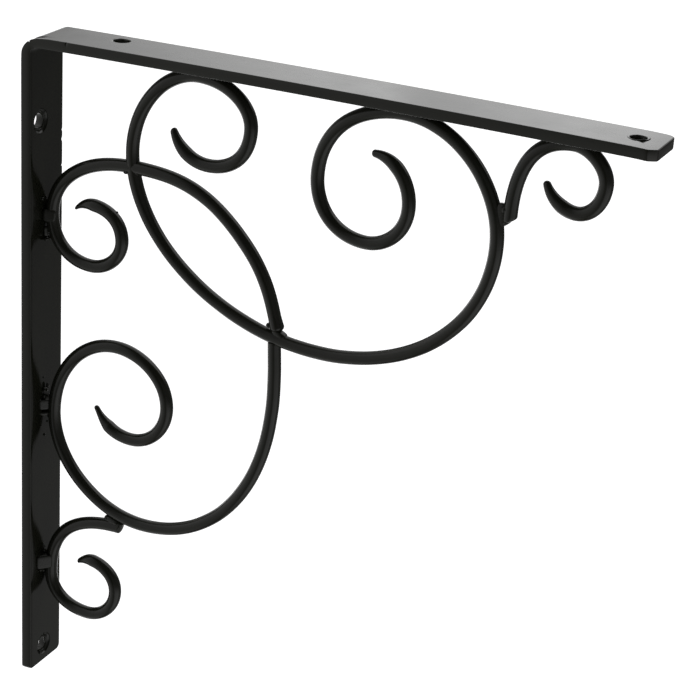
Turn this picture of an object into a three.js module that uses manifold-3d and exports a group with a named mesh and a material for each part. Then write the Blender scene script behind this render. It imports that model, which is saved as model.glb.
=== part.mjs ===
// A scroll shelf bracket: one flat bar bent to a right angle, filled with welded
// scrolls of round rod. Millimetres, +Z up, +X out from the wall, Y across the bar.
// The origin is on the wall leg's back, halfway between its two screw holes.

import * as THREE from "three";
import { mergeVertices } from "three/addons/utils/BufferGeometryUtils.js";
import Module from "manifold-3d";

const wasm = await Module();
wasm.setup();

// The flat bar: its leg on the wall and its arm under the shelf, both measured
// from the outside of the bend
const BAR = {
  width: 27,
  thick: 5,
  armReach: 292,
  wallDrop: 323.8,
  insideBend: 2,
};

// Corners clipped off the two ends of the bar
const CLIP = {
  arm: 3.2,
  wall: 1,
};

// The screw holes: straight bore, with a countersink on the side of the scrolls
const HOLE = {
  bore: 7.4,
  sink: 11.6,
};

// Where the holes are: along the bar, and off its middle towards the back
const ARM_HOLE_NEAR = { fromWall: 41, aside: 4.5 };
const ARM_HOLE_FAR = { fromEnd: 11.5, aside: 0 };
const WALL_HOLE_HIGH = { fromTop: 41, aside: -5 };
const WALL_HOLE_LOW = { fromEnd: 9.3, aside: -1.5 };

// The small tear that bending opened in the front edge of the outer corner
const TEAR = {
  open: 1.5,
  deep: 2.4,
  along: 4,
};

// Round rod, drawn out to a blunt point at each free tip
const ROD = 6;
const TIP = {
  width: 3,
  along: 13,
};

// Gap left at each welded contact
const GAP = 0.3;

// How much of the bar is left past the last rod, to the end of the arm and of the wall leg
const PAST_RODS = {
  arm: 22.3,
  wall: 34,
};

// Where along the quarter curve of its neighbour each small curl is welded on,
// as a share of that quarter, which is counted from the neighbour's first station
const END_CURL_WELD = { quarter: 6, share: 0.15 };
const FOOT_CURL_WELD = { quarter: 2, share: 0.14 };

// Fineness: sides of a rod and of a hole, rings along a rod, and steps of the bend
const ROD_SIDES = 12;
const ROD_STEP = 0.75 * ROD;
const HOLE_SIDES = 24;
const BEND_STEPS = 7;
const SAME_PLACE = 1e-4;

// The rods' middle lines run in the field between the place where a rod touches both
// legs of the bar and the places of the last rods.
const TOUCH = BAR.thick + GAP + ROD / 2;
const FIELD = {
  reach: BAR.armReach - PAST_RODS.arm - TOUCH,
  drop: BAR.wallDrop - PAST_RODS.wall - TOUCH,
};

// A station of a rod is [out, down, heading, fullness]. Out and down are shares of the
// field. The heading is in degrees, 0 outward and 90 upward, and keeps counting as the
// rod turns. The fullness is that of the curve from there to the next station.
const UPPER_SCROLL = [
  [0.238, 0.095, -61, 0.45],
  [0.309, 0.14, 0, 0.6],
  [0.386, 0.069, 90, 0.55],
  [0.286, 0, 180, 0.527],
  [0.161, 0.14, 270, 0.525],
  [0.533, 0.408, 360, 0.567],
  [0.832, 0.173, 450, 0.527],
  [0.658, 0, 540, 0.594],
  [0.512, 0.121, 630, 0.577],
  [0.605, 0.211, 720, 0.551],
  [0.677, 0.143, 810, 0.574],
  [0.608, 0.069, 903, 0],
];
const INNER_CURL = [
  [0.048, 0.248, 14, 0.75],
  [0.143, 0.297, -90, 0.53],
  [0.081, 0.35, -180, 0.583],
  [0, 0.274, -270, 0.593],
  [0.163, 0.167, -360, 0],
];
const LINKING_ARC = [
  [0.163, 0.167, 0, 0.43],
  [0.362, 0.233, -44, 0.43],
  [0.457, 0.402, -76, 0],
];
const LOWER_SCROLL = [
  [0.448, 0.401, -87, 0.46],
  [0.452, 0.49, -90, 0.584],
  [0.196, 0.797, -180, 0.524],
  [0.006, 0.628, -270, 0.551],
  [0.137, 0.483, -360, 0.539],
  [0.242, 0.571, -450, 0.541],
  [0.169, 0.643, -540, 0.461],
  [0.098, 0.6, -606, 0],
];
const END_CURL = [
  [0.904, 0.062, -72, 0.43],
  [0.958, 0.101, 0, 0.55],
  [1, 0.051, 90, 0.481],
  [0.943, 0, 180, 0.66],
];
const FOOT_CURL = [
  [0.057, 0.897, 16, 0.74],
  [0.142, 0.942, -90, 0.536],
  [0.08, 1, -180, 0.6],
  [0, 0.936, -270, 0.66],
];

// The place of a station, with x out from the wall's face and z down from the arm's top
function placeOf([out, down, heading, fullness]) {
  return {
    at: new THREE.Vector3(TOUCH + out * FIELD.reach, 0, -(TOUCH + down * FIELD.drop)),
    heading: THREE.MathUtils.degToRad(heading),
    fullness,
  };
}

function along(heading) {
  return new THREE.Vector3(Math.cos(heading), 0, Math.sin(heading));
}

// A smooth middle line through places, each joined to the next by one cubic curve whose
// handles are the fullness times the way that is covered along their own heading
function middleLine(places) {
  const line = new THREE.CurvePath();
  for (let i = 0; i + 1 < places.length; i += 1) {
    const from = places[i];
    const to = places[i + 1];
    const way = to.at.clone().sub(from.at);
    const leave = along(from.heading);
    const arrive = along(to.heading);
    const first = from.at.clone().addScaledVector(leave, Math.abs(way.dot(leave)) * from.fullness);
    const last = to.at.clone().addScaledVector(arrive, -Math.abs(way.dot(arrive)) * from.fullness);
    line.add(new THREE.CubicBezierCurve3(from.at, first, last, to.at));
  }
  return line;
}

// The place of a rod's end that is welded alongside a neighbour: one rod off its middle
// line, on the outer side of its turn, which is 1 for a left turn and -1 for a right one
function placeBeside(neighbour, weld, turn, heading) {
  const curve = neighbour.curves[weld.quarter];
  const at = curve.getPoint(weld.share);
  const way = curve.getTangent(weld.share);
  const outward = new THREE.Vector3(way.z * turn, 0, -way.x * turn);
  at.addScaledVector(outward, ROD + GAP);
  return { at, heading: THREE.MathUtils.degToRad(heading), fullness: 0 };
}

function roundSection(radius) {
  const corners = [];
  for (let i = 0; i < ROD_SIDES; i += 1) {
    const angle = (i / ROD_SIDES) * 2 * Math.PI;
    corners.push(new THREE.Vector2(radius * Math.cos(angle), radius * Math.sin(angle)));
  }
  return new THREE.Shape(corners);
}

function rodGeometry(line, radius) {
  const steps = Math.round(line.getLength() / ROD_STEP);
  return new THREE.ExtrudeGeometry(roundSection(radius), {
    steps,
    extrudePath: line,
    bevelEnabled: false,
  });
}

// Draws a rod out to a point: each ring near a tip shrinks about its own centre
function drawOut(geometry, line, atStart, atEnd) {
  const length = line.getLength();
  const steps = Math.round(length / ROD_STEP);
  const centres = line.getSpacedPoints(steps);
  const corners = geometry.attributes.position;
  const corner = new THREE.Vector3();
  for (let i = 0; i < corners.count; i += 1) {
    corner.fromBufferAttribute(corners, i);
    let ring = 0;
    for (let k = 1; k < centres.length; k += 1) {
      if (corner.distanceToSquared(centres[k]) < corner.distanceToSquared(centres[ring])) {
        ring = k;
      }
    }
    const gone = (ring / steps) * length;
    let left = TIP.along;
    if (atStart) {
      left = Math.min(left, gone);
    }
    if (atEnd) {
      left = Math.min(left, length - gone);
    }
    const swell = Math.sin((left / TIP.along) * (Math.PI / 2));
    const share = (TIP.width + (ROD - TIP.width) * swell) / ROD;
    corner.sub(centres[ring]).multiplyScalar(share).add(centres[ring]);
    corners.setXYZ(i, corner.x, corner.y, corner.z);
  }
  return geometry;
}

function toSolid(geometry) {
  const bare = geometry.clone();
  bare.deleteAttribute("normal");
  bare.deleteAttribute("uv");
  const merged = mergeVertices(bare, SAME_PLACE);
  return new wasm.Manifold(new wasm.Mesh({
    numProp: 3,
    vertProperties: new Float32Array(merged.attributes.position.array),
    triVerts: new Uint32Array(merged.index.array),
  }));
}

function toGeometry(solid) {
  const mesh = solid.getMesh();
  const geometry = new THREE.BufferGeometry();
  geometry.setAttribute("position", new THREE.BufferAttribute(mesh.vertProperties, 3));
  geometry.setIndex(new THREE.BufferAttribute(mesh.triVerts, 1));
  geometry.computeVertexNormals();
  return geometry;
}

// The bent bar as an outline in X and Z, drawn out across its width
function bentBar() {
  const outside = BAR.insideBend + BAR.thick;
  const outline = new THREE.Shape();
  outline.moveTo(0, -BAR.wallDrop);
  outline.lineTo(BAR.thick, -BAR.wallDrop);
  outline.lineTo(BAR.thick, -outside);
  outline.absarc(outside, -outside, BAR.insideBend, Math.PI, Math.PI / 2, true);
  outline.lineTo(BAR.armReach, -BAR.thick);
  outline.lineTo(BAR.armReach, 0);
  outline.lineTo(outside, 0);
  outline.absarc(outside, -outside, outside, Math.PI / 2, Math.PI, false);
  outline.lineTo(0, -BAR.wallDrop);
  const bar = new THREE.ExtrudeGeometry(outline, {
    depth: BAR.width,
    curveSegments: BEND_STEPS,
    bevelEnabled: false,
  });
  bar.rotateX(Math.PI / 2);
  bar.translate(0, BAR.width / 2, 0);
  return bar;
}

// A screw hole's cutter along +Y, from the plain face at 0 to the countersunk one
function holeCutter() {
  const beyond = BAR.thick;
  const bore = HOLE.bore / 2;
  const sink = HOLE.sink / 2;
  const sinkFrom = BAR.thick - (sink - bore);
  return new THREE.LatheGeometry([
    new THREE.Vector2(0, -beyond),
    new THREE.Vector2(bore, -beyond),
    new THREE.Vector2(bore, sinkFrom),
    new THREE.Vector2(sink + beyond, BAR.thick + beyond),
    new THREE.Vector2(0, BAR.thick + beyond),
  ], HOLE_SIDES);
}

function armHole(x, aside) {
  const cutter = holeCutter();
  cutter.rotateX(-Math.PI / 2);
  cutter.translate(x, aside, 0);
  return cutter;
}

function wallHole(z, aside) {
  const cutter = holeCutter();
  cutter.rotateZ(-Math.PI / 2);
  cutter.translate(0, aside, z);
  return cutter;
}

// A block set on edge that takes one corner off a bar end lying flat, the corner being
// at the block's origin and pointing along +X and side times +Y
function clipCutter(clip, side) {
  const edge = 3 * clip;
  const block = new THREE.BoxGeometry(edge, edge, 3 * BAR.thick);
  block.rotateZ(Math.PI / 4);
  const out = (edge / 2 - clip / Math.SQRT2) / Math.SQRT2;
  block.translate(out, side * out, 0);
  return block;
}

// A thin wedge that opens the outer corner of the bend at the front edge
function tearCutter() {
  const outside = BAR.insideBend + BAR.thick;
  const wedge = new THREE.Shape([
    new THREE.Vector2(outside - TEAR.deep, 0),
    new THREE.Vector2(outside + TEAR.deep, -TEAR.open),
    new THREE.Vector2(outside + TEAR.deep, TEAR.open),
  ]);
  const cutter = new THREE.ExtrudeGeometry(wedge, {
    depth: 2 * TEAR.along,
    bevelEnabled: false,
  });
  cutter.rotateZ(0.75 * Math.PI);
  cutter.rotateX(Math.PI / 2);
  cutter.translate(outside, -BAR.width / 2 + TEAR.along, -outside);
  return cutter;
}

function cutBar() {
  const wallLow = -(BAR.wallDrop - WALL_HOLE_LOW.fromEnd);
  const cutters = [
    armHole(ARM_HOLE_NEAR.fromWall, ARM_HOLE_NEAR.aside),
    armHole(BAR.armReach - ARM_HOLE_FAR.fromEnd, ARM_HOLE_FAR.aside),
    wallHole(-WALL_HOLE_HIGH.fromTop, WALL_HOLE_HIGH.aside),
    wallHole(wallLow, WALL_HOLE_LOW.aside),
    tearCutter(),
  ];
  for (const side of [-1, 1]) {
    const armClip = clipCutter(CLIP.arm, side);
    armClip.translate(BAR.armReach, side * BAR.width / 2, -BAR.thick / 2);
    cutters.push(armClip);
    const wallClip = clipCutter(CLIP.wall, side);
    wallClip.rotateY(Math.PI / 2);
    wallClip.translate(BAR.thick / 2, side * BAR.width / 2, -BAR.wallDrop);
    cutters.push(wallClip);
  }
  let bar = toSolid(bentBar());
  for (const cutter of cutters) {
    bar = bar.subtract(toSolid(cutter));
  }
  return toGeometry(bar);
}

const upperLine = middleLine(UPPER_SCROLL.map(placeOf));
const lowerLine = middleLine(LOWER_SCROLL.map(placeOf));
const innerLine = middleLine(INNER_CURL.map(placeOf));
const linkingLine = middleLine(LINKING_ARC.map(placeOf));
const endPlaces = END_CURL.map(placeOf);
endPlaces.push(placeBeside(upperLine, END_CURL_WELD, 1, 270));
const endLine = middleLine(endPlaces);
const footPlaces = FOOT_CURL.map(placeOf);
footPlaces.push(placeBeside(lowerLine, FOOT_CURL_WELD, -1, -360));
const footLine = middleLine(footPlaces);

// The upper scroll runs through. The rods that end on it are cut to its round.
const upperRoom = toSolid(rodGeometry(upperLine, ROD / 2 + GAP));

function plainRod(line, atStart, atEnd) {
  return drawOut(rodGeometry(line, ROD / 2), line, atStart, atEnd);
}

function copedRod(line, atStart, atEnd) {
  return toGeometry(toSolid(plainRod(line, atStart, atEnd)).subtract(upperRoom));
}

// Black powder coat, semi-gloss
function blackCoat() {
  return new THREE.MeshStandardMaterial({ color: 0x121212, roughness: 0.32, metalness: 0 });
}

const bracket = new THREE.Group();
const work = new THREE.Group();
work.position.z = (WALL_HOLE_HIGH.fromTop + BAR.wallDrop - WALL_HOLE_LOW.fromEnd) / 2;
bracket.add(work);

function addPiece(name, geometry) {
  const mesh = new THREE.Mesh(geometry, blackCoat());
  mesh.name = name;
  work.add(mesh);
}

addPiece("bent_bar", cutBar());
addPiece("upper_scroll", plainRod(upperLine, true, true));
addPiece("inner_curl", copedRod(innerLine, true, false));
addPiece("linking_arc", copedRod(linkingLine, false, false));
addPiece("lower_scroll", copedRod(lowerLine, false, true));
addPiece("end_curl", plainRod(endLine, true, false));
addPiece("foot_curl", plainRod(footLine, true, false));

export default bracket;
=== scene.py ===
"""The looks of a black scroll shelf bracket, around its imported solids.

Metres, +Z up, +X out from the wall, Y across the bar. The origin is on the wall
leg's back. Each surface is worked out as whole arrays: a section carried along a
line, a profile turned round an axis, or a ball pushed out of round.
"""
import math

import bpy
import numpy as np
from mathutils import Matrix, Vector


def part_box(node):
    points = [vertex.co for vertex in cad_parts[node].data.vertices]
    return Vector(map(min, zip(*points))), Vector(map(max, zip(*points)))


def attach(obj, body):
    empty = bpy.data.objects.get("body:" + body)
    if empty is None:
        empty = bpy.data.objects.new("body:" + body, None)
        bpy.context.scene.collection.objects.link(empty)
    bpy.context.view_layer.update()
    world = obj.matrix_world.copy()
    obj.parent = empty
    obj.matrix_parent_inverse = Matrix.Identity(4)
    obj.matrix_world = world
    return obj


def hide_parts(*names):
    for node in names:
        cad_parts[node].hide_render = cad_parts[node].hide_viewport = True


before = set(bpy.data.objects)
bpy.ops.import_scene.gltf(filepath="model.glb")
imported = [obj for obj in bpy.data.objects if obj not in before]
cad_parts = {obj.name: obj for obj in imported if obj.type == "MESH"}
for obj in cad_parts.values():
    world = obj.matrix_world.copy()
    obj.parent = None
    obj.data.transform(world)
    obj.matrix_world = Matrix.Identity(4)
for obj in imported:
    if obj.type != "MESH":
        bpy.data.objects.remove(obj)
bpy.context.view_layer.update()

MM = 0.001

# The bar and the rod, from the solids' own boxes
bar_low, bar_high = (np.array(corner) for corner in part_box("bent_bar"))
rod_low, rod_high = (np.array(corner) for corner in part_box("upper_scroll"))
WALL = bar_low[0]
END = bar_high[0]
FOOT = bar_low[2]
TOP = bar_high[2]
HALF_WIDTH = (bar_high[1] - bar_low[1]) / 2
ROD = rod_high[1] - rod_low[1]
ROD_RADIUS = ROD / 2

# The bar's thickness, the size of the inside of its bend, and how square that is:
# round at exponent 2 and squarer above
THICK = 5 * MM
INSIDE_BEND = 3.3 * MM
BEND_SQUARE = 3.3

# The bar's long edges: how far the corners at the outer and the inner face are eased, and
# the depth at which an edge stands out most
OUTER_EDGE = 0.25 * MM
INNER_EASE = 0.25 * MM
EDGE_TOP = 1.5 * MM

# Each edge: how far it bulges, and how wide and deep its inner corner rolls off
FRONT_EDGE = (0.5 * MM, 2.2 * MM, 0.22 * MM)
BACK_EDGE = (0.1 * MM, 1.5 * MM, 0.3 * MM)

# The bar's ends: the clips of their front and back corners and how soft they are, the
# rounding of their outer and inner faces, and how far and from where the arm's end droops
ARM_CLIP = (3.3 * MM, 1.9 * MM)
FOOT_CLIP = (0.9 * MM, 1.4 * MM)
CLIP_SOFTNESS = 0.35 * MM
ARM_END_ROUND = (0.6 * MM, 0.6 * MM)
FOOT_END_ROUND = (1.5 * MM, 0.4 * MM)
END_DROOP = 0.4 * MM
END_DROOP_ALONG = 12 * MM

# The welds under the arm have drawn its two ends down, off a straight line
ARM_SAG = 1 * MM
SAG_MIDDLE = WALL + 125 * MM
SAG_HALF = 155 * MM

# The screw holes, countersunk on the side of the scrolls: bore and countersink across,
# and how far the bore's plain rim is broken
BORE = 7.6 * MM
SINK = 11.8 * MM
ARM_RIM = 0.3 * MM
WALL_RIM = 0.1 * MM

# The countersink's bowl: how far outside the bore it starts, its depth and how full it is.
# In it a lip stands round the bore: how wide it is, how deep its foot is, and how high it is
BOWL_START = 0.6 * MM
BOWL_DEEP = 1.2 * MM
BOWL_FULL = 1.3
LIP_WIDE = 0.35 * MM
LIP_FOOT = 1.35 * MM
LIP_HIGH = 0.55 * MM

# Where the holes are along the bar and across it
ARM_HOLE_NEAR = (WALL + 41 * MM, 4.5 * MM)
ARM_HOLE_FAR = (END - 11.5 * MM, 0)
WALL_HOLE_HIGH = (TOP - 41 * MM, -5 * MM)
WALL_HOLE_LOW = (FOOT + 9.3 * MM, -1.5 * MM)

# The tear at the front of the bend: how far round the bend it is, as a share, how wide it
# opens, how deep it is, and how far it runs in from the front. Its depth is ragged by a
# share and its line wanders, each over a wavelength
TEAR_AT = 0.62
TEAR_OPEN = 1.5 * MM
TEAR_DEEP = 2.4 * MM
TEAR_ALONG = 4 * MM
TEAR_RAGGED = (0.3, 3 * MM)
TEAR_WANDER = (0.4 * MM, 4 * MM)

# Round the bend the outer face has drawn in towards the front: how far, fading out over
# which distance from the front, and how far past the middle of the bend it is deepest
DRAWN_IN = 0.7 * MM
DRAWN_ALONG = 27 * MM
DRAWN_ON = 2.5 * MM

# The dent beside the tear deepens from the front to a step: its depth, how far back the
# step is and how long, the power by which it deepens, and its half length round the bend
DENT_DEEP = 2.5 * MM
DENT_BACK = 4.4 * MM
DENT_STEP = 0.6 * MM
DENT_POWER = 1.5
DENT_HALF = 5 * MM

# Nicks in the bar's edges: distance from the foot, edge, depth of the nicked corner
# below the outer face, half length and depth of the nick. The reach is how far up and
# down the edge a nick fades out
NICKS = (
    (343.8 * MM, -HALF_WIDTH, 0, 0.5 * MM, 0.35 * MM),
    (270.8 * MM, HALF_WIDTH, THICK, 0.9 * MM, 0.7 * MM),
    (275.3 * MM, HALF_WIDTH, THICK, 0.5 * MM, 0.6 * MM),
    (258.3 * MM, HALF_WIDTH, THICK, 0.6 * MM, 0.6 * MM),
)
NICK_REACH = 1.4 * MM

# The field of the rods' middle lines, as in the solids
WELD_GAP = 0.3 * MM
TOUCH = THICK + WELD_GAP + ROD_RADIUS
PAST_RODS_ARM = 22.3 * MM
PAST_RODS_WALL = 34 * MM
REACH = END - WALL - PAST_RODS_ARM - TOUCH
DROP = TOP - FOOT - PAST_RODS_WALL - TOUCH

# Stations of the rods: out, down, heading in degrees, fullness of the curve that follows.
# Out and down are shares of the field.
UPPER_SCROLL = (
    (0.238, 0.095, -61, 0.45), (0.309, 0.14, 0, 0.6), (0.386, 0.069, 90, 0.55),
    (0.286, 0, 180, 0.527), (0.161, 0.14, 270, 0.525), (0.533, 0.408, 360, 0.567),
    (0.832, 0.173, 450, 0.527), (0.658, 0, 540, 0.594), (0.512, 0.121, 630, 0.577),
    (0.605, 0.211, 720, 0.551), (0.677, 0.143, 810, 0.574), (0.608, 0.069, 903, 0),
)
INNER_CURL = (
    (0.048, 0.248, 14, 0.75), (0.143, 0.297, -90, 0.53), (0.081, 0.35, -180, 0.583),
    (0, 0.274, -270, 0.593), (0.163, 0.167, -360, 0),
)
LINKING_ARC = (
    (0.163, 0.167, 0, 0.43), (0.362, 0.233, -44, 0.43), (0.457, 0.402, -76, 0),
)
LOWER_SCROLL = (
    (0.448, 0.401, -87, 0.46), (0.452, 0.49, -90, 0.584), (0.196, 0.797, -180, 0.524),
    (0.006, 0.628, -270, 0.551), (0.137, 0.483, -360, 0.539), (0.242, 0.571, -450, 0.541),
    (0.169, 0.643, -540, 0.461), (0.098, 0.6, -606, 0),
)
END_CURL = (
    (0.904, 0.062, -72, 0.43), (0.958, 0.101, 0, 0.55), (1, 0.051, 90, 0.481),
    (0.943, 0, 180, 0.66),
)
FOOT_CURL = (
    (0.057, 0.897, 16, 0.74), (0.142, 0.942, -90, 0.536), (0.08, 1, -180, 0.6),
    (0, 0.936, -270, 0.66),
)

# Fineness of the surfaces
RING_STEP = 0.8 * MM
ROD_SIDES = 36
CAP_RINGS = 10
BAR_STEP = 2 * MM
BEND_STEP = 0.12 * MM
FACE_POINTS = 24
EDGE_POINTS = 8
ROLLED_POINTS = 9
CORNER_POINTS = 6
HOLE_SIDES = 48
BOWL_POINTS = 7
LUMP_ROWS = 16
LUMP_COLUMNS = 26
BURR_SIDES = 72

# Edges of the bar that turn by more than this angle in degrees are shaded sharp
SHARP_ABOVE = 32


# Lines

def place_of(out, down):
    """A station's place in X and Z, from its shares of the field."""
    return np.array([WALL + TOUCH + out * REACH, TOP - TOUCH - down * DROP])


def quarter_curves(stations):
    """One cubic curve from each station to the next, as its four points. A handle lies
    along the heading, the fullness times as long as the way covered in that heading."""
    curves = []
    for here, there in zip(stations, stations[1:]):
        start, stop = place_of(*here[:2]), place_of(*there[:2])
        leave, arrive = (
            np.array([math.cos(math.radians(s[2])), math.sin(math.radians(s[2]))])
            for s in (here, there)
        )
        way = stop - start
        first = start + leave * abs(way @ leave) * here[3]
        last = stop - arrive * abs(way @ arrive) * here[3]
        curves.append(np.array([start, first, last, stop]))
    return curves


def curve_points(curve, share):
    """Points of a cubic curve: its four points weighted by the cubic's four terms."""
    t = np.atleast_1d(share)[:, None]
    a, b, c, d = curve
    return a * (1 - t) ** 3 + b * 3 * t * (1 - t) ** 2 + c * 3 * t**2 * (1 - t) + d * t**3


def curve_way(curve, share):
    """The unit direction of a cubic curve, from its derivative."""
    t = np.atleast_1d(share)[:, None]
    a, b, c, d = curve
    way = (b - a) * (1 - t) ** 2 + (c - b) * 2 * t * (1 - t) + (d - c) * t**2
    return way / np.linalg.norm(way, axis=1, keepdims=True)


def middle_line(curves, fineness=400):
    """Distance along, place and direction at many points of the joined curves."""
    share = np.linspace(0, 1, fineness)
    places = np.concatenate([curve_points(c, share) for c in curves])
    ways = np.concatenate([curve_way(c, share) for c in curves])
    gone = np.concatenate([[0], np.cumsum(np.linalg.norm(np.diff(places, axis=0), axis=1))])
    return gone, places, ways


def on_line(line, gone):
    """Place and unit direction of a middle line at distances along it."""
    along, places, ways = line
    place = np.stack([np.interp(gone, along, places[:, k]) for k in (0, 1)], axis=1)
    way = np.stack([np.interp(gone, along, ways[:, k]) for k in (0, 1)], axis=1)
    return place, way / np.linalg.norm(way, axis=1, keepdims=True)


def station_beside(curves, quarter, share, turn, heading):
    """The station of a rod's end welded alongside a neighbour: one rod and the gap off
    the neighbour's line, on the outer side of its turn."""
    place = curve_points(curves[quarter], share)[0]
    way = curve_way(curves[quarter], share)[0]
    aside = np.array([way[1] * turn, -way[0] * turn])
    x, z = place + aside * (ROD + WELD_GAP)
    return ((x - WALL - TOUCH) / REACH, (TOP - TOUCH - z) / DROP, heading, 0)


# Meshes

def outward(points, faces):
    """The faces, turned round if the volume they enclose comes out negative."""
    a, b, c, d = (points[faces[:, k]] for k in range(4))
    volume = np.einsum("ij,ij->i", a, np.cross(b, c)) + np.einsum("ij,ij->i", a, np.cross(c, d))
    return faces if volume.sum() > 0 else faces[:, ::-1]


def mesh_of(name, points, faces):
    """A mesh object from arrays. A face whose last two corners are one is a triangle."""
    three = (faces == np.roll(faces, 1, axis=1)).any(axis=1)
    rows = []
    for face, is_three in zip(faces.tolist(), three.tolist()):
        rows.append(list(dict.fromkeys(face)) if is_three else face)
    mesh = bpy.data.meshes.new(name)
    mesh.from_pydata(points.tolist(), [], rows)
    mesh.update()
    piece = bpy.data.objects.new(name, mesh)
    bpy.context.scene.collection.objects.link(piece)
    return piece


def closed_skin(rings):
    """Faces over rings of points, rows by columns, each ring closed on itself, with a
    fan to one point in the middle of the first ring and one in that of the last."""
    rows, columns = rings.shape[:2]
    points = np.concatenate([rings.reshape(-1, 3), [rings[0].mean(0)], [rings[-1].mean(0)]])
    index = np.arange(rows * columns).reshape(rows, columns)
    after = np.roll(index, -1, axis=1)
    sides = np.stack([index[:-1], index[1:], after[1:], after[:-1]], axis=-1).reshape(-1, 4)
    first = np.full(columns, rows * columns)
    last = first + 1
    near = np.stack([first, index[0], after[0], after[0]], axis=-1)
    far = np.stack([last, after[-1], index[-1], index[-1]], axis=-1)
    return points, outward(points, np.concatenate([sides, near, far]))


def joined(shells):
    """Several closed skins as the points and faces of one mesh, each facing outwards."""
    points, faces, count = [], [], 0
    for shell_points, shell_faces in shells:
        points.append(shell_points)
        faces.append(outward(shell_points, shell_faces) + count)
        count += len(shell_points)
    return np.concatenate(points), np.concatenate(faces)


def smooth(piece, sharp_above=None):
    """Shades a piece smooth, apart from edges sharper than an angle in degrees."""
    piece.data.shade_smooth()
    if sharp_above is not None:
        piece.data.set_sharp_from_angle(angle=math.radians(sharp_above))
    return piece


def waves(along, seed, longest, count=5):
    """A slow random wobble from -1 to 1: a sum of sines of ever shorter wavelength."""
    draw = np.random.default_rng(seed)
    total = np.zeros_like(along)
    for k in range(count):
        start = draw.uniform(0, 2 * np.pi)
        total += np.sin(2 * np.pi * along * (k + 1) / longest + start) / (k + 1)
    return total / sum(1 / (k + 1) for k in range(count))


# The rods

# A rod's end: its width at the end, over which length it gets to that, and by which power
# of the distance; how long the rounding of the end is, and how square; how far the end
# leans to the left of the rod's way; how far it is cut aslant, as a share of the place
# across the rod; and how far it reaches past its station
BLUNT = {"width": 2.9 * MM, "along": 12.5 * MM, "power": 1, "cap": 1.4 * MM, "square": 2.2,
         "lean": 0, "slant": 0, "reach": 0.4 * MM}
FIRST_TIP = {**BLUNT, "lean": 0.8 * MM, "reach": 1.1 * MM}
INNER_TIP = {**BLUNT, "width": 1.3 * MM, "along": 11 * MM, "cap": 0.9 * MM, "square": 2,
             "lean": -2.5 * MM, "reach": 1 * MM}
FOOT_TIP = {**INNER_TIP, "width": 1.9 * MM, "along": 9 * MM, "lean": -2 * MM,
            "reach": -0.2 * MM}
THIN = {**BLUNT, "width": 2.3 * MM, "along": 11.5 * MM, "power": 1.8, "cap": 1.2 * MM,
        "lean": 0.5 * MM, "reach": 1 * MM}
CUT = {**BLUNT, "width": ROD, "cap": 0.8 * MM, "square": 3.5, "reach": 0}
END_CURL_CUT = {**CUT, "cap": 1.8 * MM, "square": 2.4, "slant": -0.45, "reach": 1.7 * MM}
FOOT_CURL_CUT = {**CUT, "cap": 1 * MM, "square": 3, "slant": 0.2, "reach": 1.2 * MM}
ARC_END = {**CUT, "width": 6.9 * MM, "along": 7 * MM, "cap": 2.4 * MM, "square": 2,
           "lean": 0.4 * MM, "reach": -3.8 * MM}
SCROLL_CUT = {**CUT, "reach": -1.6 * MM}

# Over which length an end is slanted and leans, and how full its shoulder is
SLANT_ALONG = 5 * MM
LEAN_ALONG = 9 * MM
SHOULDER = 0.12

# The enamel's thickness on a rod. A rod is slightly uneven all along, each over a
# wavelength: its thickness and its roundness by a share, and its line by a distance
ENAMEL = 0.07 * MM
UNEVEN = (0.008, 60 * MM)
OVAL = (0.01, 150 * MM)
WANDER = (0.07 * MM, 70 * MM)


def end_cap(end):
    """Distance from the end and share of the full radius on a superellipse, which is
    round at exponent 2 and squarer above. Its first ring is just off the middle."""
    turn = np.linspace(0.06, 1, CAP_RINGS) * np.pi / 2
    gone = end["cap"] * (1 - np.cos(turn) ** (2 / end["square"]))
    return gone, np.sin(turn) ** (2 / end["square"])


def swell(gone, end):
    """The rod's width at a distance from an end: from the end's width to the full rod by a
    power of the share gone, made fuller halfway by a sine, so that it has a shoulder."""
    share = np.clip(gone / end["along"], 0, 1)
    eased = share ** end["power"] * (1 + SHOULDER * np.sin(np.pi * share))
    return end["width"] + (ROD - end["width"]) * np.clip(eased, 0, 1)


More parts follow.
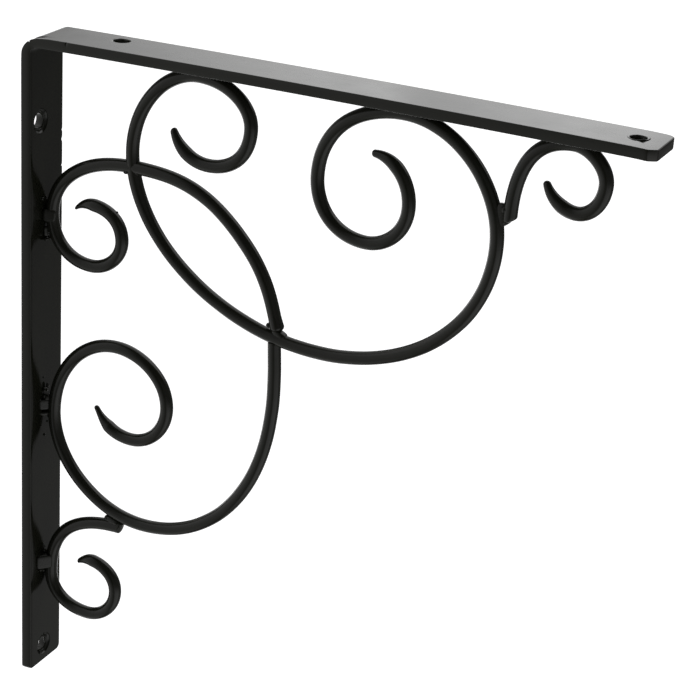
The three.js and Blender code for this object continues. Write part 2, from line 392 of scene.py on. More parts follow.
def rod_rings(curves, start, stop, seed):
    """Rings round a middle line, prolonged straight by its ends' reach. A ring is a circle
    across the line, as wide as both ends' swell and their caps make it, shifted sideways
    by an end's lean, and along the line by its slant. The rod is slightly uneven."""
    line = middle_line(curves)
    length = line[0][-1] + start["reach"] + stop["reach"]
    near, near_share = end_cap(start)
    far, far_share = end_cap(stop)
    body = np.arange(near[-1] + RING_STEP, length - far[-1] - RING_STEP / 2, RING_STEP)
    gone = np.concatenate([near, body, length - far[::-1]])
    cap = np.concatenate([near_share, np.ones(len(body)), far_share[::-1]])
    width = swell(gone, start) * swell(length - gone, stop) / ROD
    around = np.arange(ROD_SIDES) / ROD_SIDES * 2 * np.pi
    radius = ((width / 2 + ENAMEL) * cap)[:, None] * (
        1 + UNEVEN[0] * waves(gone, seed, UNEVEN[1])[:, None]
        + OVAL[0] * np.cos(2 * around[None, :] + 3 * waves(gone, seed + 20, OVAL[1])[:, None])
    )
    at = gone - start["reach"]
    place, way = on_line(line, at)
    place = place + way * (np.clip(at, None, 0) + np.clip(at - line[0][-1], 0, None))[:, None]
    left = np.stack([-way[:, 1], way[:, 0]], axis=1)
    lean = (
        start["lean"] * (1 - np.clip(gone / LEAN_ALONG, 0, 1)) ** 2
        + stop["lean"] * (1 - np.clip((length - gone) / LEAN_ALONG, 0, 1)) ** 2
    )
    place = place + left * (lean + WANDER[0] * waves(gone, seed + 50, WANDER[1]))[:, None]
    across = radius * np.cos(around)
    slant = (
        start["slant"] * (1 - np.clip(gone / SLANT_ALONG, 0, 1))
        + stop["slant"] * (1 - np.clip((length - gone) / SLANT_ALONG, 0, 1))
    )[:, None] * across
    return np.stack([
        place[:, :1] + left[:, :1] * across + way[:, :1] * slant,
        radius * np.sin(around),
        place[:, 1:] + left[:, 1:] * across + way[:, 1:] * slant,
    ], axis=-1)


def rod(name, node, curves, start, stop, seed):
    """The piece that stands for a rod's solid."""
    piece = mesh_of(name, *closed_skin(rod_rings(curves, start, stop, seed)))
    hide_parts(node)
    return smooth(piece)


# The bar

def eased_corner(first, corner, last):
    """Points of the curve that leaves one place and arrives at another, both times in
    line with the corner between them: the parabola of those three."""
    t = np.linspace(0, 1, CORNER_POINTS)[1:-1, None]
    return (1 - t) ** 2 * first + 2 * t * (1 - t) * corner + t**2 * last


def half_section(bulge, rolled_wide, rolled_deep):
    """Half of the bar's section, as depth from the outer face and distance from the
    middle: a flat outer face with a crisp corner, an edge that bulges as a parabola, and
    an inner face whose corner rolls off, steeper towards the edge."""
    def edge_at(depth):
        return HALF_WIDTH - bulge * ((depth - EDGE_TOP) / (THICK - EDGE_TOP)) ** 2

    rolled_from = THICK - rolled_deep
    outer_corner, inner_corner = edge_at(0), edge_at(rolled_from)
    outer = [(0, y) for y in np.linspace(0, outer_corner - OUTER_EDGE, FACE_POINTS)]
    side = [
        (d, edge_at(d)) for d in np.linspace(OUTER_EDGE, rolled_from - INNER_EASE, EDGE_POINTS)
    ]
    rolled = [
        (THICK - rolled_deep * (1 - s / rolled_wide) ** 2, inner_corner - s)
        for s in np.linspace(INNER_EASE, rolled_wide, ROLLED_POINTS)
    ]
    inner = [(THICK, y) for y in np.linspace(inner_corner - rolled_wide, 0, ROLLED_POINTS)[1:]]
    return np.concatenate([
        outer,
        eased_corner(np.array(outer[-1]), np.array([0, outer_corner]), np.array(side[0])),
        side,
        eased_corner(
            np.array(side[-1]), np.array([rolled_from, inner_corner]), np.array(rolled[0])
        ),
        rolled,
        inner,
    ])


def bar_section():
    """The whole section of the bar: its back half, and then its front half mirrored."""
    back, front = half_section(*BACK_EDGE), half_section(*FRONT_EDGE)
    whole = np.concatenate([back, front[-2:0:-1] * [1, -1]])
    return whole[:, 0], whole[:, 1]


def thickness(angle):
    """The bar's thickness at an angle of the bend. The inside follows a superellipse,
    which is tighter than the circle of the outside."""
    powers = np.cos(angle) ** BEND_SQUARE + np.sin(angle) ** BEND_SQUARE
    round_inside = powers ** (1 / BEND_SQUARE)
    return THICK + INSIDE_BEND - INSIDE_BEND / round_inside


def bar_line(gone):
    """Place, inward direction and angle of the bend on the outside of the bar: up the
    wall leg, round a quarter circle and out along the arm."""
    outside = INSIDE_BEND + THICK
    rise = TOP - FOOT - outside
    bend = outside * np.pi / 2
    angle = np.clip((gone - rise) / outside, 0, np.pi / 2)
    up = np.clip(gone, 0, rise)
    on = np.clip(gone - rise - bend, 0, None)
    x = WALL + outside * (1 - np.cos(angle)) + on
    z = FOOT + up + outside * np.sin(angle)
    inward = np.stack([np.cos(angle), -np.sin(angle)], axis=1)
    return np.stack([x, z], axis=1), inward, angle


def bar_stations():
    """Distances along the bar, its length, and where its bend starts and how long it is.
    The distances are close together at both ends, round the bend and at the nicks."""
    outside = INSIDE_BEND + THICK
    rise = TOP - FOOT - outside
    bend = outside * np.pi / 2
    length = rise + bend + END - WALL - outside
    ends = MM * np.array(
        [0, 0.03, 0.1, 0.2, 0.35, 0.5, 0.7, 0.95, 1.25, 1.6, 2, 2.5, 3, 3.5, 4, 5]
    )
    parts = [
        ends,
        np.arange(ends[-1] + BAR_STEP, rise - BAR_STEP / 2, BAR_STEP),
        np.arange(rise, rise + bend + BEND_STEP, BEND_STEP),
        np.arange(rise + bend + BAR_STEP / 2, length - ends[-1] - BAR_STEP / 2, BAR_STEP),
        length - ends,
    ]
    for gone, _, _, radius, _ in NICKS:
        parts.append(np.arange(gone - 1.5 * radius, gone + 1.5 * radius, radius / 5))
    return np.unique(np.concatenate(parts).round(7)), length, rise, bend


def end_round(gone, radius):
    """How far a face is drawn in at a distance from the bar's end: a quarter circle."""
    return radius * (1 - np.sqrt(1 - (1 - np.clip(gone / radius, 0, 1)) ** 2))


def sag(x, z):
    """How far the bar lies below the straight line: a parabola along the arm, which
    fades down the wall leg to nothing at the foot."""
    return ARM_SAG * ((x - SAG_MIDDLE) / SAG_HALF) ** 2 * (z - FOOT) / (TOP - FOOT)


def bar_rings():
    """The bar's section carried along its line. At each end the faces draw in by the
    rounding of a sheared edge, and the width by the clipped corners. The arm's end
    droops. Round the bend the outer face is drawn in and dented towards the front, and at
    the tear it is pulled in further as a narrow V."""
    gone, length, rise, bend = bar_stations()
    place, inward, angle = bar_line(gone)
    to_foot, to_end = gone, length - gone
    outer = end_round(to_foot, FOOT_END_ROUND[0]) + end_round(to_end, ARM_END_ROUND[0])
    inner = end_round(to_foot, FOOT_END_ROUND[1]) + end_round(to_end, ARM_END_ROUND[1])
    front, back = (
        CLIP_SOFTNESS * (
            np.logaddexp(0, (arm - to_end) / CLIP_SOFTNESS)
            + np.logaddexp(0, (foot - to_foot) / CLIP_SOFTNESS)
        )
        for arm, foot in zip(ARM_CLIP, FOOT_CLIP)
    )
    section_depth, section_across = bar_section()
    share = section_depth / THICK
    depth = outer[:, None] * (1 - share) + share * (thickness(angle) - inner)[:, None]
    side = (outer + inner)[:, None] / 2
    clip = np.where(section_across < 0, front[:, None], back[:, None])
    across = section_across * (1 - (clip + side) / HALF_WIDTH)
    depth = depth + END_DROOP * np.clip(1 - to_end / END_DROOP_ALONG, 0, 1)[:, None] ** 2
    from_front = np.clip(across + HALF_WIDTH, 0, None)
    from_middle = gone[:, None] - rise - bend / 2
    drawn = np.clip(1 - from_front / DRAWN_ALONG, 0, 1)
    drawn = drawn * np.exp(-((from_middle - DRAWN_ON) / (bend / 2)) ** 2)
    dented = (from_front / DENT_BACK) ** DENT_POWER
    dented = dented * np.clip((DENT_BACK + DENT_STEP - from_front) / DENT_STEP, 0, 1)
    dented = dented * np.exp(-(from_middle / DENT_HALF) ** 2)
    depth = depth + (DRAWN_IN * drawn + DENT_DEEP * dented) * (1 - share)
    ragged = 1 + TEAR_RAGGED[0] * waves(across, 3, TEAR_RAGGED[1])
    into = np.clip(1 - from_front / TEAR_ALONG, 0, 1) * ragged
    tear_line = rise + bend * TEAR_AT + TEAR_WANDER[0] * waves(across, 5, TEAR_WANDER[1])
    beside = np.clip(1 - np.abs(gone[:, None] - tear_line) / (TEAR_OPEN / 2), 0, 1)
    depth = np.maximum(depth, TEAR_DEEP * into * beside)
    for at, edge, corner, radius, deep in NICKS:
        near = np.exp(
            -((gone[:, None] - at) / radius) ** 2 - ((across - edge) / (2 * radius)) ** 2
            - ((depth - corner) / NICK_REACH) ** 2
        )
        across = across - np.sign(edge) * deep * near
    x = place[:, :1] + inward[:, :1] * depth
    z = place[:, 1:] + inward[:, 1:] * depth
    return np.stack([x, across, z - sag(x, z)], axis=-1)


def hole_profile(rim):
    """Radius and depth of a screw hole's cutter, from beyond the plain face to beyond the
    countersunk one. The plain rim is broken. The countersink is a quarter turn of a bowl,
    with a low lip, a quarter of an ellipse, left standing round the bore by the punch."""
    bore, sink = BORE / 2, SINK / 2
    beyond = 2 * MM
    bowl_inner = bore + BOWL_START
    turn = np.linspace(0, np.pi / 2, BOWL_POINTS)
    lip = [
        (bore + LIP_WIDE * (1 - math.cos(a)), THICK - LIP_FOOT + LIP_HIGH * math.sin(a))
        for a in turn
    ]
    bowl = [
        (
            bowl_inner + (sink - bowl_inner) * math.sin(a),
            THICK - BOWL_DEEP * math.cos(a) ** BOWL_FULL,
        )
        for a in turn
    ]
    return np.array([
        (0, -beyond), (bore + rim + beyond, -beyond), (bore + rim, 0),
        (bore + rim / 3, rim / 3), (bore, rim), *lip, *bowl[1:-1],
        (sink, THICK), (sink + beyond, THICK + beyond), (0, THICK + beyond),
    ])


def turned(name, profile, place, axis, side):
    """A closed skin of a profile turned round an axis through a place. Side is a
    direction across the axis."""
    angle = np.arange(HOLE_SIDES) / HOLE_SIDES * 2 * np.pi
    third = np.cross(axis, side)
    spoke = np.cos(angle)[:, None] * side + np.sin(angle)[:, None] * third
    rings = (
        place
        + profile[1:-1, 1][:, None, None] * axis
        + profile[1:-1, 0][:, None, None] * spoke
    )
    return mesh_of(name, *closed_skin(rings))


def cut(piece, cutters):
    """Cuts the cutters out of a piece and deletes them."""
    for cutter in cutters:
        step = piece.modifiers.new("cut", "BOOLEAN")
        step.operation = "DIFFERENCE"
        step.solver = "EXACT"
        step.object = cutter
    graph = bpy.context.evaluated_depsgraph_get()
    made = bpy.data.meshes.new_from_object(piece.evaluated_get(graph))
    piece.modifiers.clear()
    piece.data = made
    for cutter in cutters:
        bpy.data.objects.remove(cutter)


def bar():
    """The bent flat bar with its four screw holes cut."""
    piece = mesh_of("flat_bar", *closed_skin(bar_rings()))
    down, out = np.array([0, 0, -1.0]), np.array([1.0, 0, 0])
    arm_profile, wall_profile = hole_profile(ARM_RIM), hole_profile(WALL_RIM)
    cutters = [
        turned("cut", arm_profile, np.array([x, y, TOP - sag(x, TOP)]), down, out)
        for x, y in (ARM_HOLE_NEAR, ARM_HOLE_FAR)
    ] + [
        turned("cut", wall_profile, np.array([WALL, y, z]), out, down)
        for z, y in (WALL_HOLE_HIGH, WALL_HOLE_LOW)
    ]
    cut(piece, cutters)
    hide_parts("bent_bar")
    return smooth(piece, SHARP_ABOVE)


# The welds. Their sizes are in millimetres.

SPATTER_SIZES = (0.25, 0.55)
LUMP_RIPPLES = 3.2


def ripples(way, seed, fineness):
    """An uneven field over directions, about -1 to 1: a sum of sines of the distance
    along random ways."""
    draw = np.random.default_rng(seed)
    total = np.zeros(way.shape[:-1])
    for k in range(9):
        along = draw.normal(size=3)
        along *= fineness * (1 + k / 4) / np.linalg.norm(along)
        total += np.sin(way @ along + draw.uniform(0, 2 * np.pi)) / (1 + k / 3)
    return total / 2.6


def lump(middle, half, seed, square=2.3, turn=0, tip=0, rough=0.1):
    """A closed lump of weld: a ball stretched to half sizes in X, Y and Z, squarer above
    exponent 2, pushed in and out by ripples, and turned about Z and then about Y. Lengths
    are in millimetres and angles in degrees."""
    def squarer(v):
        return np.sign(v) * np.abs(v) ** (2 / square)

    up = np.linspace(-1, 1, LUMP_ROWS)[1:-1] * np.pi / 2
    round_z = np.linspace(0, 2 * np.pi, LUMP_COLUMNS)[:-1]
    level, high = np.cos(up)[:, None], np.sin(up)[:, None]
    ball = np.stack(
        np.broadcast_arrays(level * np.cos(round_z), level * np.sin(round_z), high), axis=-1
    )
    shape = np.stack(np.broadcast_arrays(
        squarer(level) * squarer(np.cos(round_z)), squarer(level) * squarer(np.sin(round_z)),
        squarer(high),
    ), axis=-1)
    shape = shape * (1 + rough * ripples(ball, seed, LUMP_RIPPLES))[..., None] * np.array(half)
    a, b = math.radians(turn), math.radians(tip)
    about_z = np.array([[math.cos(a), -math.sin(a), 0], [math.sin(a), math.cos(a), 0], [0, 0, 1]])
    about_y = np.array([[math.cos(b), 0, math.sin(b)], [0, 1, 0], [-math.sin(b), 0, math.cos(b)]])
    return closed_skin((shape @ about_z.T @ about_y.T + np.array(middle)) * MM)


def spatter(middle, spread, count, seed):
    """Small balls thrown out by welding onto the wall leg's inner face, round a place."""
    draw = np.random.default_rng(seed)
    shells = []
    for k in range(count):
        y = middle[0] + draw.normal(0, spread[0])
        z = middle[1] + draw.normal(0, spread[1])
        size = draw.uniform(*SPATTER_SIZES)
        middle_out = THICK / MM + 0.3 * size
        shells.append(lump((middle_out, y, z), (0.8 * size, size, size), seed + k, rough=0.15))
    return shells


def weld(name, shells):
    """One piece of several lumps."""
    return smooth(mesh_of(name, *joined(shells)))


def arm_weld(name, x, seed):
    """Beads along both sides of the rod where it touches the arm from below."""
    low = (TOP - THICK - sag(x * MM, TOP)) / MM
    return weld(name, [
        lump((x - 0.6, -2.0, low - 1.2), (5.2, 1.7, 1.5), seed, rough=0.16),
        lump((x + 2.6, -2.2, low - 1.0), (3.2, 1.5, 1.3), seed + 1, rough=0.16),
        lump((x + 0.4, 2.1, low - 1.2), (5.6, 1.6, 1.5), seed + 2, rough=0.16),
    ])


def wall_welds():
    """The small rods' and the lower scroll's welds on the wall leg: flat fillets seen
    from the side of the photograph, and plainer beads on the far side."""
    return [
        weld("weld_inner_curl_to_wall", [
            lump((8.2, -2.5, 91.9), (3.1, 0.9, 3.1), 11, square=4, turn=18, rough=0.04),
            lump((5.8, -1.6, 83.4), (0.7, 1.1, 2.5), 13, square=4, turn=-42, rough=0.06),
            lump((6.2, -2.6, 80.2), (1.1, 1.1, 0.9), 14),
            lump((6.2, 1.4, 79.7), (1.1, 1.3, 1.0), 15),
            lump((5.2, -3.6, 99.7), (0.6, 0.75, 0.8), 16),
            lump((6.8, 2.2, 92.3), (1.9, 1.9, 5.2), 17, rough=0.15),
            *spatter((-2, 90), (3, 9), 7, 18),
        ]),
        weld("weld_lower_scroll_to_wall", [
            lump((6.1, -2.2, 3.8), (1.1, 1.6, 1.3), 31),
            lump((6.1, -0.4, 5.0), (0.7, 0.6, 1.7), 32),
            lump((6.3, -1.3, -0.8), (0.9, 1.9, 2.2), 33, square=4, turn=-44, rough=0.05),
            lump((6.0, -2.9, -3.6), (1.0, 2.5, 2.6), 34, square=5, turn=-45, rough=0.04),
            lump((7.2, -1.6, -2.4), (0.9, 1.7, 3.4), 35, square=4, turn=-45, rough=0.06),
            lump((5.9, -2.7, -8.5), (1.1, 2.5, 1.0), 36, square=2.6, turn=-45),
            lump((7.3, 0, -8.0), (1.6, 1.8, 3.4), 37, square=2.6),
            lump((5.2, -1.2, -20.6), (0.5, 0.6, 0.6), 38),
            lump((7.3, 1.6, -5.5), (2.1, 2.0, 5.6), 39, rough=0.15),
            *spatter((-1, -4), (3, 10), 7, 40),
        ]),
        weld("weld_foot_curl_to_wall", [
            lump((6.9, -4.2, -87.8), (1.8, 3.9, 3.6), 51, square=6, turn=-43, rough=0.03),
            lump((5.5, -6.8, -88.6), (0.7, 1.2, 2.4), 52, square=4, turn=-43, rough=0.05),
            lump((7.4, -1.4, -88.6), (1.6, 1.6, 4.4), 53, square=3, rough=0.08),
            lump((5.7, -5.2, -92.4), (0.9, 1.2, 0.9), 54),
            lump((5.6, -2.8, -93.8), (0.8, 0.8, 0.8), 55),
            lump((6.9, 2.0, -90.4), (2.0, 1.9, 5.4), 56, rough=0.15),
            *spatter((-3, -90), (3, 8), 7, 57),
        ]),
    ]


def scroll_welds():
    """The welds between rods: round both crossings, and in the wedges where the end
    curl and the foot curl lie alongside a scroll."""
    return [
        weld("weld_at_upper_crossing", [
            lump((47.5, -0.1, 121.7), (1.2, 2.7, 3.2), 71, square=2.6, tip=-8, rough=0.05),
            lump((53.8, 0, 121.9), (1.3, 2.6, 3.3), 73, square=2.5, tip=8, rough=0.05),
            lump((43.6, -1.2, 99.9), (0.6, 0.6, 0.5), 70),
        ]),
        weld("weld_at_lower_crossing", [
            lump((122.6, -0.6, 62.3), (1.3, 1.1, 1.0), 76, tip=25),
            lump((128.0, 0, 59.1), (3.9, 2.4, 1.8), 77, square=2.6, tip=24, rough=0.03),
            lump((126.9, 0.4, 54.8), (2.4, 2.6, 1.0), 78, square=2.6, tip=10, rough=0.06),
        ]),
        weld("weld_end_curl_to_scroll", [
            lump((226.9, -0.2, 134.4), (2.6, 1.9, 5.2), 79, square=3, tip=-2, rough=0.02),
            lump((228.2, -2.0, 137.2), (1.0, 0.9, 1.3), 80),
            lump((229.7, -0.5, 132.0), (2.6, 1.5, 1.1), 81, tip=-42, rough=0.04),
            lump((227.3, 1.2, 134.6), (1.5, 2.0, 4.4), 82, rough=0.14),
        ]),
        weld("weld_foot_curl_to_scroll", [
            lump((44.8, -0.5, -56.8), (5.0, 2.1, 1.6), 83, square=3, tip=16, rough=0.06),
            lump((41.0, -0.8, -56.0), (1.6, 1.7, 1.4), 84, tip=30, rough=0.06),
            lump((46.4, -1.9, -57.1), (1.6, 1.1, 0.9), 85),
            lump((45.0, 1.4, -57.0), (3.6, 1.9, 1.6), 87, tip=14, rough=0.14),
        ]),
    ]


def hole_runs():
    """Beads of enamel on the rim of the foot's hole, and a run of it inside."""
    return weld("enamel_runs_at_foot_hole", [
        lump((4.9, -2.7, -131.6), (0.5, 0.8, 0.7), 101),
        lump((4.9, -0.4, -131.2), (0.5, 0.9, 0.6), 102),
        lump((4.9, -4.5, -141.2), (0.4, 0.8, 1.1), 103),
        lump((4.3, 0.5, -135.6), (0.5, 0.7, 2.3), 104),
    ])


# The burr's section: places out from the rim in millimetres, and shares of its height.
# Its height in millimetres is at least the first number, and up to the second more
BURR_OUT = (-0.3, -0.15, 0.05, 0.25, 0.45, 0.9, 0.6, -0.1)
BURR_RISE = (-0.5, 0.2, 0.8, 1, 0.7, -0.1, -0.3, -0.5)
BURR_HEIGHT = (0.15, 0.65)
BURR_UNEVEN = 0.3
BURR_LIFT = 0.02 * MM


def hole_burr():
    """The torn lip that the punch raised round the arm's far hole: a section carried
    round the hole. Ripples make its height and its width uneven."""
    round_z = np.arange(BURR_SIDES) / BURR_SIDES * 2 * np.pi
    way = np.stack([np.cos(round_z), np.sin(round_z), 0 * round_z], axis=-1)
    least, more = BURR_HEIGHT
    height = (least + more * np.clip(ripples(way, 96, 2.6), 0, 1) ** 1.5)[:, None] * MM
    out = np.array(BURR_OUT) * MM
    rise = np.array(BURR_RISE)
    radius = BORE / 2 + out[None, :] * (1 + BURR_UNEVEN * ripples(way, 97, 3)[:, None])
    x, y = ARM_HOLE_FAR
    rings = np.stack([
        x + radius * np.cos(round_z)[:, None],
        y + radius * np.sin(round_z)[:, None],
        TOP - sag(x, TOP) + BURR_LIFT + height * rise[None, :],
    ], axis=-1)
    rows, columns = rings.shape[:2]
    index = np.arange(rows * columns).reshape(rows, columns)
    next_row = np.roll(index, -1, axis=0)
    faces = np.stack([
        index, next_row, np.roll(next_row, -1, axis=1), np.roll(index, -1, axis=1)
    ], axis=-1).reshape(-1, 4)
    points = rings.reshape(-1, 3)
    return smooth(mesh_of("burr_at_arm_hole", points, outward(points, faces)))


# Materials

def linear(code):
    """A colour's sRGB hex code as linear red, green, blue and alpha."""
    values = [int(code[k:k + 2], 16) / 255 for k in (1, 3, 5)]
    return (
        *(v / 12.92 if v <= 0.04045 else ((v + 0.055) / 1.055) ** 2.4 for v in values), 1
    )


def add(tree, kind, settings=None, links=None):
    """Adds a node to a tree, with its settings and what each input is fed by or set to."""
    node = tree.nodes.new(kind)
    for name, value in (settings or {}).items():
        setattr(node, name, value)
    for name, value in (links or {}).items():
        if isinstance(value, bpy.types.NodeSocket):
            tree.links.new(value, node.inputs[name])
        else:
            node.inputs[name].default_value = value
    return node


def new_material(name):
    """A material with an empty tree, and the tree."""
    material = bpy.data.materials.new(name)
    material.use_nodes = True
    material.node_tree.nodes.clear()
    return material, material.node_tree


# The enamel's colours, and the size of its glossier and duller patches
ENAMEL_BLACK = "#23241c"
ENAMEL_BROWNED = "#3a281c"
GLOSS_PATCHES = 14 * MM


def black_gloss_enamel(name, bumps, gloss):
    """Black gloss enamel, sprayed on steel: a nearly black and slightly warm ground under
    a smooth skin that mirrors the studio, browned near the welds. Bumps are wavelength
    and height in millimetres, from the sag of the wet paint down to its orange peel.
    Gloss is the roughness of its glossier and of its duller patches."""
    material, tree = new_material(name)
    place = add(tree, "ShaderNodeTexCoord").outputs["Object"]
    cloudy = add(tree, "ShaderNodeTexNoise", None, {
        "Vector": place, "Scale": 1 / GLOSS_PATCHES, "Detail": 4, "Roughness": 0.6,
    })
    roughness = add(tree, "ShaderNodeMapRange", None, {
        "Value": cloudy.outputs["Fac"], "From Min": 0.35, "From Max": 0.7,
        "To Min": gloss[0], "To Max": gloss[1],
    })
    heat = add(tree, "ShaderNodeAttribute", {"attribute_name": "heat"})
    colour = add(tree, "ShaderNodeMix", {"data_type": "RGBA"})
    tree.links.new(heat.outputs["Fac"], colour.inputs["Factor"])
    colour.inputs["A"].default_value = linear(ENAMEL_BLACK)
    colour.inputs["B"].default_value = linear(ENAMEL_BROWNED)
    normal = None
    for length, height in bumps:
        wave = add(tree, "ShaderNodeTexNoise", None, {
            "Vector": place, "Scale": 1 / (length * MM), "Detail": 2, "Roughness": 0.5,
        })
        links = {"Height": wave.outputs["Fac"], "Strength": 1, "Distance": height * MM}
        if normal:
            links["Normal"] = normal
        normal = add(tree, "ShaderNodeBump", None, links).outputs["Normal"]
    shader = add(tree, "ShaderNodeBsdfPrincipled", None, {
        "Base Color": colour.outputs["Result"], "Roughness": roughness.outputs["Result"],
        "IOR": 1.5, "Normal": normal,
    })
    add(tree, "ShaderNodeOutputMaterial", None, {"Surface": shader.outputs["BSDF"]})
    return material


# How far the heat of a weld has spread, and how brown the enamel is there at most
HEAT_SPREAD = 7 * MM
HEAT_MOST = 0.8


def heat_near(piece, places):
    """Stores on a piece's points how near they are to a weld, at most HEAT_MOST: a bell
    curve of the distance. Enamel over heated steel dries thin and brown there."""
    count = len(piece.data.vertices)
    points = np.empty(count * 3, dtype=np.float32)
    piece.data.vertices.foreach_get("co", points)
    gap = np.linalg.norm(points.reshape(-1, 1, 3) - np.array(places)[None] * MM, axis=2)
    heat = HEAT_MOST * np.exp(-(gap / HEAT_SPREAD) ** 2)
    layer = piece.data.attributes.new("heat", "FLOAT", "POINT")
    layer.data.foreach_set("value", heat.max(axis=1).astype(np.float32))


def white_paper():
    """White studio paper, lit from below and above: matt, and as bright as white gets."""
    material, tree = new_material("white_paper")
    shader = add(tree, "ShaderNodeBsdfPrincipled", None, {
        "Base Color": linear("#f4f4f4"), "Roughness": 0.9, "Emission Color": linear("#ffffff"),
        "Emission Strength": 0.85,
    })
    add(tree, "ShaderNodeOutputMaterial", None, {"Surface": shader.outputs["BSDF"]})
    return material


# The camera, at the photograph's viewing angle: place in metres, angles in degrees, and
# lens and sensor in millimetres
CAMERA_PLACE = (0.48415, -0.72865, 0.3827)
AZIMUTH = 23.875
ELEVATION = 22.041
ROLL = 3.767
LENS = 101.362
SENSOR = 36


def camera():
    """Looks back along its azimuth and elevation, turned about its own line of sight."""
    data = bpy.data.cameras.new("camera")
    data.lens = LENS
    data.sensor_width = SENSOR
    data.clip_end = 50
    eye = bpy.data.objects.new("camera", data)
    bpy.context.scene.collection.objects.link(eye)
    eye.rotation_mode = "XYZ"
    eye.location = CAMERA_PLACE
    az, el, roll = (math.radians(a) for a in (AZIMUTH, ELEVATION, ROLL))
    back = np.array([math.sin(az) * math.cos(el), -math.cos(az) * math.cos(el), math.sin(el)])
    level = np.array([math.cos(az), math.sin(az), 0])
    upright = np.cross(back, level)
    right = math.cos(roll) * level + math.sin(roll) * upright
    up = -math.sin(roll) * level + math.cos(roll) * upright
    eye.rotation_euler = Matrix(np.stack([right, up, back], axis=1).tolist()).to_euler()
    bpy.context.scene.camera = eye


# The studio's windows of light: counted from the right or the left, between two sides
# and two heights in degrees, with how soft they are and their strengths at both sides
WINDOWS = (
    ("left", (-20, 72), (-75, 64), 12, (0.9, 0.24)),
    ("left", (70, 108), (-80, -14), 11, (0.26, 0.06)),
    ("left", (62, 92), (-14, 60), 10, (0.16, 0.08)),
    ("right", (-66, 16), (-72, -16), 13, (0.55, 0.66)),
    ("right", (-60, 60), (-14, 26), 8, (0.07, 0.09)),
    ("right", (28, 84), (-78, -18), 12, (0.17, 0.17)),
    ("right", (30, 150), (27, 74), 9, (1.3, 0.5)),
    ("right", (60, 92), (4, 24), 2, (0.3, 0.6)),
    ("right", (92, 106.8), (3, 24), 0.5, (1.2, 1.7)),
    ("right", (106.8, 112.6), (3, 24), 0.5, (1.75, 1.12)),
    ("right", (112.6, 131), (3, 24), 0.5, (1.7, 0)),
    ("right", (90, 170), (-64, 2), 3, (1.1, 1.1)),
)

# The light between the windows, and the height and the half width of the white paper
SHADE = 0.03
FLOOR_LOW = -0.8
FLOOR_HALF = 9


def window(tree, turn, height, sides, heights, soft, strength):
    """A soft-edged window of light in the surroundings, between two sides and two heights
    in degrees. Its strength runs evenly from its first side to its second."""
    def rising(value, edge, way):
        return add(tree, "ShaderNodeMapRange", {"interpolation_type": "SMOOTHSTEP"}, {
            "Value": value, "From Min": edge - way * soft, "From Max": edge + way * soft,
        }).outputs["Result"]

    def times(a, b):
        return add(tree, "ShaderNodeMath", {"operation": "MULTIPLY"}, {0: a, 1: b}).outputs[0]

    across = times(rising(turn, sides[0], 1), rising(turn, sides[1], -1))
    upright = times(rising(height, heights[0], 1), rising(height, heights[1], -1))
    even = add(tree, "ShaderNodeMapRange", None, {
        "Value": turn, "From Min": sides[0], "From Max": sides[1],
        "To Min": strength[0], "To Max": strength[1],
    }).outputs["Result"]
    return times(times(across, upright), even)


def studio():
    """White paper below, and the lit and dark walls of a studio all round. Turn is
    counted in degrees from +X towards +Y, or from -X for the windows on that side."""
    corners = [(-FLOOR_HALF, -FLOOR_HALF, FLOOR_LOW), (FLOOR_HALF, -FLOOR_HALF, FLOOR_LOW),
               (FLOOR_HALF, FLOOR_HALF, FLOOR_LOW), (-FLOOR_HALF, FLOOR_HALF, FLOOR_LOW)]
    mesh = bpy.data.meshes.new("floor")
    mesh.from_pydata(corners, [], [(0, 1, 2, 3)])
    floor = bpy.data.objects.new("floor", mesh)
    bpy.context.scene.collection.objects.link(floor)
    floor.data.materials.append(white_paper())
    floor.visible_glossy = False
    floor.visible_diffuse = False
    floor.visible_shadow = False

    world = bpy.data.worlds.new("studio")
    bpy.context.scene.world = world
    world.use_nodes = True
    tree = world.node_tree
    tree.nodes.clear()
    way = add(tree, "ShaderNodeTexCoord").outputs["Generated"]
    parts = add(tree, "ShaderNodeSeparateXYZ", None, {"Vector": way})

    def degrees(operation, *values):
        angle = add(tree, "ShaderNodeMath", {"operation": operation}, dict(enumerate(values)))
        turn = add(tree, "ShaderNodeMath", {"operation": "DEGREES"}, {0: angle.outputs[0]})
        return turn.outputs[0]

    turned_round = add(
        tree, "ShaderNodeVectorMath", {"operation": "SCALE"}, {"Vector": way, "Scale": -1}
    )
    other = add(tree, "ShaderNodeSeparateXYZ", None, {"Vector": turned_round.outputs[0]})
    from_right = degrees("ARCTAN2", parts.outputs["Y"], parts.outputs["X"])
    from_left = degrees("ARCTAN2", other.outputs["Y"], other.outputs["X"])
    height = degrees("ARCSINE", parts.outputs["Z"])
    light = None
    for side, sides, heights, soft, strength in WINDOWS:
        turn = from_left if side == "left" else from_right
        part = window(tree, turn, height, sides, heights, soft, strength)
        light = part if light is None else add(
            tree, "ShaderNodeMath", {"operation": "ADD"}, {0: light, 1: part}
        ).outputs[0]
    lit = add(tree, "ShaderNodeMath", {"operation": "ADD"}, {0: light, 1: SHADE}).outputs[0]
    white = linear("#ffffff")
    surroundings = add(tree, "ShaderNodeBackground", None, {"Color": white, "Strength": lit})
    paper = add(tree, "ShaderNodeBackground", None, {"Color": white, "Strength": 1})
    seen = add(tree, "ShaderNodeLightPath").outputs["Is Camera Ray"]
    mixed = add(tree, "ShaderNodeMixShader", None, {
        0: seen, 1: surroundings.outputs["Background"], 2: paper.outputs["Background"],
    })
    add(tree, "ShaderNodeOutputWorld", None, {"Surface": mixed.outputs["Shader"]})


# The whole bracket

upper = quarter_curves(UPPER_SCROLL)
lower = quarter_curves(LOWER_SCROLL)
end_curl_end = station_beside(upper, 6, 0.15, 1, 270)
foot_curl_end = station_beside(lower, 2, 0.14, -1, -360)

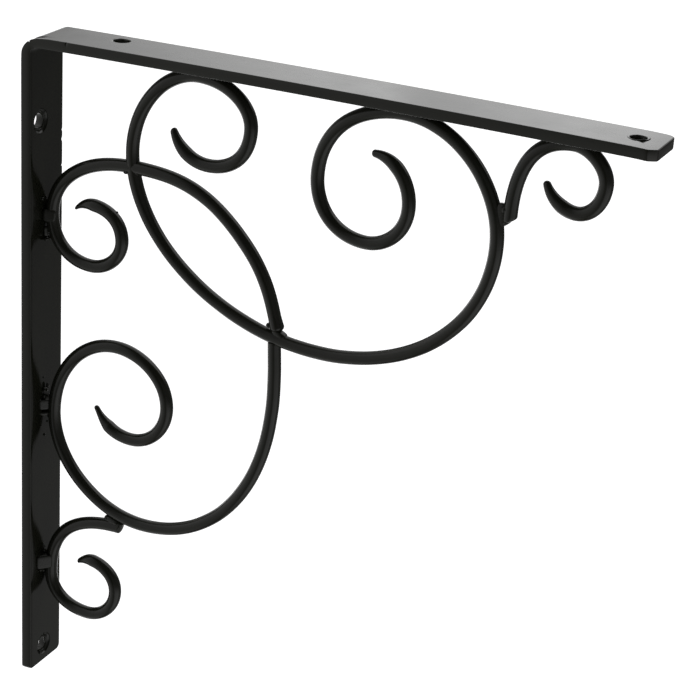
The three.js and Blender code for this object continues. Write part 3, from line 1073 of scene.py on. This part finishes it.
flat_coat = black_gloss_enamel(
    "black_gloss_enamel_on_flat_bar", ((30, 0.03), (6, 0.012), (1.6, 0.002)), (0.12, 0.2)
)
rod_coat = black_gloss_enamel(
    "black_gloss_enamel_on_round_rod", ((16, 0.12), (5, 0.035), (1.4, 0.004)), (0.16, 0.26)
)
weld_coat = black_gloss_enamel(
    "black_gloss_enamel_on_welds", ((3, 0.09), (1, 0.02)), (0.2, 0.34)
)
# Where the steel got hot, in millimetres
WELD_PLACES = (
    (7, -2, 89), (10, -2, 82), (8, -2, -9), (10, -2, -16), (7, -3, -90), (9, -3, -98),
    (50.9, -1, 122), (127, -1, 58), (227, -2, 135), (45, -2, -57),
)
end_curl = quarter_curves((*END_CURL, end_curl_end))
foot_curl = quarter_curves((*FOOT_CURL, foot_curl_end))
pieces = {
    bar(): flat_coat,
    rod("upper_scroll_rod", "upper_scroll", upper, FIRST_TIP, BLUNT, 1): rod_coat,
    rod("inner_curl_rod", "inner_curl", quarter_curves(INNER_CURL), INNER_TIP, CUT, 2): rod_coat,
    rod("linking_arc_rod", "linking_arc", quarter_curves(LINKING_ARC), CUT, ARC_END, 3): rod_coat,
    rod("lower_scroll_rod", "lower_scroll", lower, SCROLL_CUT, THIN, 4): rod_coat,
    rod("end_curl_rod", "end_curl", end_curl, BLUNT, END_CURL_CUT, 5): rod_coat,
    rod("foot_curl_rod", "foot_curl", foot_curl, FOOT_TIP, FOOT_CURL_CUT, 6): rod_coat,
    hole_burr(): flat_coat,
}
welds = wall_welds() + scroll_welds() + [
    hole_runs(),
    arm_weld("weld_upper_scroll_to_arm_near", 83.1, 91),
    arm_weld("weld_upper_scroll_to_arm_far", 180.3, 92),
    arm_weld("weld_end_curl_to_arm", 254.8, 93),
]
pieces.update({piece: weld_coat for piece in welds})
for piece, coat in pieces.items():
    piece.data.materials.clear()
    piece.data.materials.append(coat)
    heat_near(piece, WELD_PLACES)
    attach(piece, "root")

studio()
camera()
bpy.context.scene.view_settings.view_transform = "Standard"
